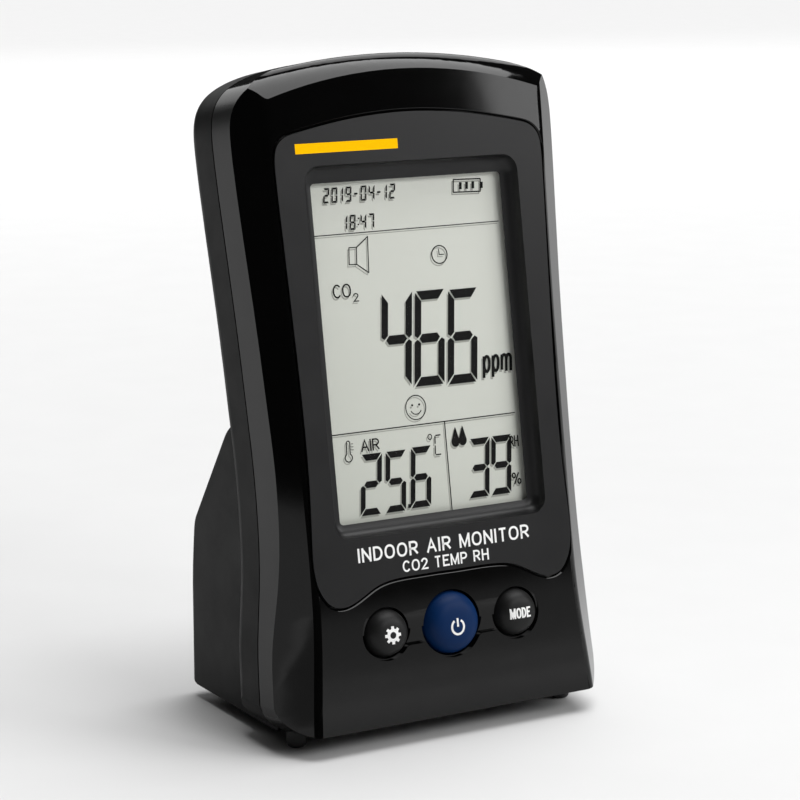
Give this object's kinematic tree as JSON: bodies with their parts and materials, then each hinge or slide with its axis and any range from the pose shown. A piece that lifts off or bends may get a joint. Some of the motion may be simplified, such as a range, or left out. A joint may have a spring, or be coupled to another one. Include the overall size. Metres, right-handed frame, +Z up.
{
  "type": "carbon dioxide monitor",
  "caption": "Desktop carbon dioxide monitor: leaning waisted housing with a large LCD, three sprung round keys, rear stand bulge, gas sensor and rubber feet.",
  "frame": {"origin": "on the resting plane, under the middle of the overall box", "axes": "+Z up, the display faces -Y and leans back, +X to the right as a reader sees it"},
  "size_m": [0.0886, 0.0624, 0.1577],
  "materials": {
    "gloss_black": "high gloss moulded ABS",
    "satin_black": "fine satin moulded ABS",
    "panel_grey": "matte charcoal panel",
    "clear_window": "clear hard-coated acrylic",
    "black_tape": "foam tape",
    "lcd_glass": "reflective liquid crystal",
    "light_guide": "translucent acrylic",
    "white_plastic": "moulded",
    "silicone": "elastomer strip",
    "green_board": "solder mask",
    "component_black": "moulded epoxy",
    "steel_screws": "zinc plated",
    "steel_shell": "nickel plated",
    "gold_cell": "gold plated optical cell",
    "filter_white": "gas permeable membrane",
    "pin_brass": "plated pins",
    "cell_wrap": "heat shrink sleeve",
    "lead_red": "insulated wire",
    "foot_rubber": "moulded rubber",
    "key_black": "fine matte",
    "key_blue": "fine matte blue"
  },
  "bodies": {
    "housing": {"backlight": "light_guide", "battery_cell": "cell_wrap", "battery_cradle": "white_plastic", "battery_leads": "lead_red", "board_components": "component_black", "board_screws": "steel_screws", "buzzer": "component_black", "case_screws": "steel_screws", "co2_sensor_board": "green_board", "co2_sensor_cell": "gold_cell", "co2_sensor_filter": "filter_white", "co2_sensor_pins": "pin_brass", "display_bezel": "panel_grey", "display_window": "clear_window", "front_cover": "gloss_black", "front_feet": "foot_rubber", "humidity_sensor": "component_black", "lcd_connector": "silicone", "lcd_holder": "white_plastic", "lcd_panel": "lcd_glass", "main_board": "green_board", "power_board": "green_board", "power_board_screws": "steel_screws", "rear_cover": "satin_black", "rear_feet": "foot_rubber", "tact_switches": "component_black", "usb_socket": "steel_shell", "window_tape": "black_tape"},
    "settings_key": {"settings_button": "key_black", "settings_plunger": "component_black"},
    "power_key": {"power_button": "key_blue", "power_plunger": "component_black"},
    "mode_key": {"mode_button": "key_black", "mode_plunger": "component_black"}
  },
  "joints": [
    {"name": "settings_key_press", "type": "slide", "parent": "housing", "child": "settings_key", "axis": [0, 0.9853, -0.1709], "range_m": [0, 0.0008], "stiffness_N_per_m": 1500},
    {"name": "power_key_press", "type": "slide", "parent": "housing", "child": "power_key", "axis": [0, 0.9853, -0.1709], "range_m": [0, 0.0008], "stiffness_N_per_m": 1500},
    {"name": "mode_key_press", "type": "slide", "parent": "housing", "child": "mode_key", "axis": [0, 0.9853, -0.1709], "range_m": [0, 0.0008], "stiffness_N_per_m": 1500}
  ]
}
